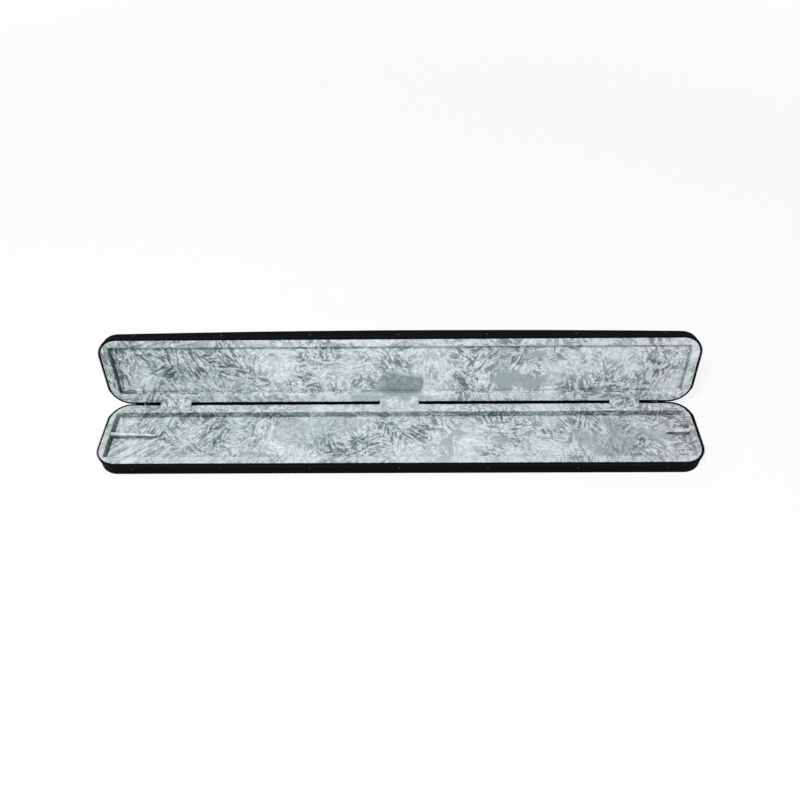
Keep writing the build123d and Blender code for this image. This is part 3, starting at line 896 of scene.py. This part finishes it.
def strip(name, node, route_at, thickness, start, end, material, columns):
    """A cloth strip with thinner edges that crosses the hinge line. route_at(x) is its route at that place
    along the case, and thickness is one number or one for each point of the route."""
    edge_thickness = 0.45
    xs = np.linspace(start, end, columns)
    loops = []
    for x in xs:
        route = route_at(x)
        rows = len(route)
        tangents = np.gradient(route, axis=0)
        tangents /= np.linalg.norm(tangents, axis=1)[:, None]
        normals = np.column_stack([-tangents[:, 1], tangents[:, 0]])
        half = np.broadcast_to(thickness, rows)[:, None] / 2 * (edge_thickness if x in (start, end) else 1)
        ring = np.concatenate([route + normals * half, (route - normals * half)[::-1]])
        loops.append(np.column_stack([np.full(len(ring), x), hinge_y + ring[:, 0], hinge_z + ring[:, 1]]))
    around = 2 * rows
    faces = ring_faces(columns, around, False, True)
    for first in (0, (columns - 1) * around):
        last = first + around - 1
        faces += [(first + row, first + row + 1, last - row - 1, last - row) for row in range(rows - 1)]
    made = mesh_object(name, np.concatenate(loops), faces, material)
    crush(made, strip_crush, 31.0)
    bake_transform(made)
    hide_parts(node)
    lengths = [np.linalg.norm(np.diff(route_at(x), axis=0), axis=1).sum() for x in xs]


cover_column = 1.5
spine_columns = 380
cover_taper_steps = 8
cover_route = bridge((-hinge_cover_reach, -0.11), (-6.3, -0.53), 1.7, cover_taper_steps, 14)
steps = np.arange(len(cover_route))
thickness = np.interp(np.minimum(steps, steps[::-1]), (0, cover_taper_steps), hinge_cover_thickness)
for name, place in hinge_places.items():
    width = hinge_cover_widths[name]
    strip(
        f"hinge_cover_{name}_velvet", f"hinge_cover_{name}", lambda x: cover_route, thickness,
        place - width / 2, place + width / 2, velvet_strip, int(width / cover_column),
    )


def spine_route(x):
    """The spine strip is cut narrower at its ends, to pass over the ends of the zip. A nick near each end,
    on the base's side at the left and on the lid's side at the right, lets the light through."""
    behind = 0.5
    if abs(x) < spine_nick[0]:
        depth = 14.0 if abs(x) < spine_full_width_end else 6.9
        return bridge((behind, -depth), (behind, -5.2), 1.9, 6, 12)
    route = bridge((behind, -3.4), (behind, -2.2), 1.2, 6, 12)
    if abs(x) > spine_nick[1]:
        return route
    steps = np.arange(len(route))
    part_kept = (0.80, 1.0) if x < 0 else (0.0, 0.20)
    kept = np.linspace(*part_kept, len(route)) * steps[-1]
    return np.column_stack([np.interp(kept, steps, part) for part in route.T])


strip(
    "spine_strip_cloth", "spine_strip", spine_route, spine_thickness, -spine_half_length,
    spine_half_length, nylon, spine_columns,
)


# Cover

def top_edge(points, lapped):
    """Depth of the cover's upper edge: bare at the back, under the velvet elsewhere, notched at hinges."""
    bare_start = hinge_y - bare_back_depth
    under_velvet = lapped - lap_thickness
    depths = np.interp(points[:, 1], (bare_start, bare_start + bare_back_fade), (under_velvet, rim_gap))
    depths[at_covers(points, hinge_y - cover - 0.6, 0.25)] = hinge_notch_depth
    return depths


def cover_band(name, bottom, place, body, node):
    """The cloth round the walls. bottom gives the depth of the outer face at each x."""
    lapped = rim_gap + rim_velvet
    touch = 0.02
    outer = inset_outline(0)
    inner = inset_outline(cover)
    seam = inset_outline(bottom_edge_radius)
    lip = rim_outline(body, 0.05)
    top = top_edge(outer, lapped)
    wall_end = bottom(outer[:, 0]) - bottom_edge_radius
    loops = [level(outer, top + (wall_end - top) * row / band_rows) for row in range(band_rows + 1)]
    for row in range(1, band_corner_rows + 1):
        angle = math.pi / 2 * row / band_corner_rows
        points = inset_outline(bottom_edge_radius * (1 - math.cos(angle)))
        loops.append(level(points, bottom(points[:, 0]) - bottom_edge_radius * (1 - math.sin(angle))))
    loops.append(level(seam, bottom(seam[:, 0]) - seam_depth))
    loops.append(level(inner, bottom(inner[:, 0]) - cover - 0.6))
    loops.append(level(inner, lapped + touch))
    loops.append(level(lip, lapped - touch / 2))
    loops.append(level(lip, top_edge(inner, lapped) + touch))
    made = lofted(name, loops, place, nylon)
    slacken(made, 0.07, 26.0, 0.03)
    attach(made, body)
    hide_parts(node)


def panel_outline(inset):
    """The outline set in, down to a line along the middle."""
    radii = (max(radius - inset, 0) for radius in (front_corner_radius, back_corner_radius))
    return outline(inset, inset, inset, *radii)


def cover_panel(name, bottom, place, body, node):
    """The cloth on the flat outside, with its edge turned in at the seam."""
    edge = bottom_edge_radius + 0.12
    insets = np.linspace(edge + 4.0, half_width, panel_rows)
    rows = [(inset, cover) for inset in (*insets[::-1], edge)]
    rows += [(edge, 1.0), (edge, 0.45), (edge + 0.25, 0.12), (edge + 0.8, 0.0)]
    rows += [(inset, 0.0) for inset in insets]
    loops = []
    for inset, rise in rows:
        points = panel_outline(inset)
        loops.append(level(points, bottom(points[:, 0]) - rise))
    made = lofted(name, loops, place, nylon, closed=False)
    slacken(made, 0.10, 45.0, 0.04)
    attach(made, body)
    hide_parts(node)


def base_bottom(x):
    return hinge_z + 0 * np.asarray(x, float)


cover_band("base_cover_walls", base_bottom, in_base, "base", "base_cover_band")
cover_band("lid_cover_walls", crown_depth, in_lid, "lid", "lid_cover_band")
cover_panel("base_cover_bottom", base_bottom, in_base, "base", "base_cover_panel")
cover_panel("lid_cover_top", crown_depth, in_lid, "lid", "lid_cover_panel")


# Zip

# The tape's section: distance out from the cover's face, share of the tape's width
tape_profile = [
    (0.03, 0.0), (tape * 0.8, 0.0), (tape, 0.03), (tape, 0.25), (tape * 0.86, 0.32), (tape, 0.40),
    (tape, 0.9), (tape * 0.8, 0.985), (tape * 0.35, 1.0), (0.03, 1.0), (0.03, 0.5),
]
coil_pitch = 1.7
coil_turn_steps = 8
coil_radius = 0.36
coil_wire = 0.19
coil_offset = 0.55
stitch_row = 0.88
stitch_pitch = 3.0
stitch_length = 2.1
stitch_radius = 0.17
stitch_around = 6
# A stitch's shape: share of its length from the middle, share of its radius
stitch_profile = ((-0.5, 0.35), (-0.4, 0.85), (-0.15, 1.0), (0.15, 1.0), (0.4, 0.85), (0.5, 0.35))


def zip_run(end):
    """The zip's route on the cover's face, from the back left to the back right round the front, with the
    outward directions, the depth of the zip's edge and the width of its tape at each point."""
    points = inset_outline(0)
    outward = inset_outline(-1) - points
    back = (points[:, 1] > hinge_y - 0.01) & (abs(points[:, 0]) < end)
    first = np.flatnonzero(~back & np.roll(back, 1))[0]
    order = [(first + step) % len(points) for step in range(len(points))]
    order = [index for index in order if not back[index]]
    points, outward = points[order], outward[order]
    share = np.interp(points[:, 1], (zip_dip_start, hinge_y + 0.5), (0, 1))
    width = tape_width + (back_tape_width - tape_width) * share
    return points, outward, rim_gap + zip_dip * share, width


def zip_tape(name, place, body, node):
    points, outward, edge, width = zip_run(zip_tape_end)
    loops = [level(points + outward * out, edge + width * part) for out, part in tape_profile]
    columns = len(points)
    faces = ring_faces(len(loops), columns, True, False)
    for column in (0, columns - 1):
        faces.append(tuple(row * columns + column for row in range(len(loops))))
    made = mesh_object(name, place(np.concatenate(loops)), faces, tape_cloth)
    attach(made, body)
    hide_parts(node)


def evenly(points, values, step):
    """Points at even steps along a route, with the values that go with them."""
    lengths = np.concatenate([[0], np.cumsum(np.linalg.norm(np.diff(points, axis=0), axis=1))])
    places = np.arange(0, lengths[-1], step)
    resample = [np.interp(places, lengths, column) for column in np.column_stack([points, values]).T]
    return places, np.column_stack(resample)


def zip_coil(name, place, body, node):
    """One half of the zip's nylon coil, as one helix along the edge of the tape."""
    points, outward, edge, _ = zip_run(zip_teeth_end)
    places, rows = evenly(points, np.column_stack([outward, edge]), coil_pitch / coil_turn_steps)
    angles = 2 * math.pi * places / coil_pitch
    out = tape + coil_offset + coil_radius * np.cos(angles)
    depth = rows[:, 4] + coil_offset + coil_radius * np.sin(angles)
    route = place(np.column_stack([rows[:, :2] + rows[:, 2:4] * out[:, None], depth])) * MM
    curve = bpy.data.curves.new(name, "CURVE")
    curve.dimensions = "3D"
    curve.bevel_depth = coil_wire * MM
    curve.bevel_resolution = 0
    curve.use_fill_caps = True
    spline = curve.splines.new("POLY")
    spline.points.add(len(route) - 1)
    spline.points.foreach_set("co", np.column_stack([route, np.ones(len(route))]).ravel())
    wound = link(name + "_route", curve)
    bpy.context.view_layer.update()
    data = bpy.data.meshes.new_from_object(wound)
    bpy.data.objects.remove(wound)
    data.name = name
    for polygon in data.polygons:
        polygon.use_smooth = True
    data.materials.clear()
    data.materials.append(coil_nylon)
    made = link(name, data)
    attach(made, body)
    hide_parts(node)


def stitches(name, place, body):
    """A row of stitches through the tape, each a short rounded thread."""
    points, outward, edge, width = zip_run(zip_tape_end)
    _, line = evenly(points, np.column_stack([outward, edge + width * stitch_row]), stitch_pitch)
    ahead = np.roll(line[:, :2], -1, axis=0) - line[:, :2]
    ahead[-1] = ahead[-2]
    ahead /= np.linalg.norm(ahead, axis=1)[:, None]
    rows = len(stitch_profile)
    stitch_faces = ring_faces(rows, stitch_around, False, True)
    stitch_faces.append(tuple(range(stitch_around)))
    stitch_faces.append(tuple((rows - 1) * stitch_around + index for index in range(stitch_around)))
    threads = []
    faces = []
    for middle, direction in zip(line, ahead):
        faces += [tuple(len(threads) + index for index in face) for face in stitch_faces]
        for step, size in stitch_profile:
            centre = middle[:2] + direction * step * stitch_length + middle[2:4] * tape
            for turn in range(stitch_around):
                angle = 2 * math.pi * turn / stitch_around
                out = middle[2:4] * math.cos(angle) * stitch_radius * size
                threads.append((*(centre + out), middle[4] + math.sin(angle) * stitch_radius * size))
    made = mesh_object(name, place(np.array(threads)), faces, thread, merge=0)
    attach(made, body)


for half_name, place in (("base", in_base), ("lid", in_lid)):
    zip_tape(f"{half_name}_zip_tape_cloth", place, half_name, f"{half_name}_zip_tape")
    zip_coil(f"{half_name}_zip_coil", place, half_name, f"{half_name}_zip_teeth")
    stitches(f"{half_name}_zip_stitches", place, half_name)


# Floor, light and background

def seen_directly(tree):
    """1 for rays from the camera, also off gloss or through glass, and 0 for those that light the case."""
    path = add(tree, "ShaderNodeLightPath").outputs
    seen = sums(tree, "ADD", path["Is Camera Ray"], path["Is Glossy Ray"])
    return sums(tree, "ADD", seen, path["Is Transmission Ray"], clamp=True)


def make_floor():
    """A floor that keeps the case's shadow and turns to plain white further out."""
    material = bpy.data.materials.new("floor")
    material.use_nodes = True
    tree = material.node_tree
    shader = tree.nodes["Principled BSDF"]
    fill(tree, shader, {"Base Color": (0.86, 0.86, 0.86, 1), "Roughness": 0.9})
    white = add(tree, "ShaderNodeEmission", {"Strength": 1.0})
    far = vectors(tree, "LENGTH", add(tree, "ShaderNodeTexCoord").outputs["Object"])
    whiter = fade(tree, far, *floor_white_fade, floor_white_share)
    share = times(tree, seen_directly(tree), whiter)
    mixed = add(tree, "ShaderNodeMixShader", {0: share, 1: shader.outputs[0], 2: white.outputs[0]})
    fill(tree, tree.nodes["Material Output"], {"Surface": mixed.outputs[0]})
    data = bpy.data.meshes.new("floor")
    size = floor_half_size
    corners = [(-size, -size, 0), (size, -size, 0), (size, size, 0), (-size, size, 0)]
    data.from_pydata(corners, [], [(0, 1, 2, 3)])
    data.materials.append(material)
    floor = link("floor", data)


def make_world():
    world = bpy.data.worlds.new("studio")
    scene.world = world
    world.use_nodes = True
    tree = world.node_tree
    strength = remap(tree, seen_directly(tree), 0.0, 1.0, world_light, 1.0)
    fill(tree, tree.nodes["Background"], {"Color": (1, 1, 1, 1), "Strength": strength})


def make_key_light():
    data = bpy.data.lights.new("key", "AREA")
    data.shape = "RECTANGLE"
    data.size, data.size_y = key_size
    data.energy = key_power
    light = link("key", data)
    light.location = key_place
    light.rotation_euler = (Vector(key_aim) - Vector(key_place)).to_track_quat("-Z", "Y").to_euler()


make_floor()
make_world()
make_key_light()
scene.view_settings.view_transform = "Standard"
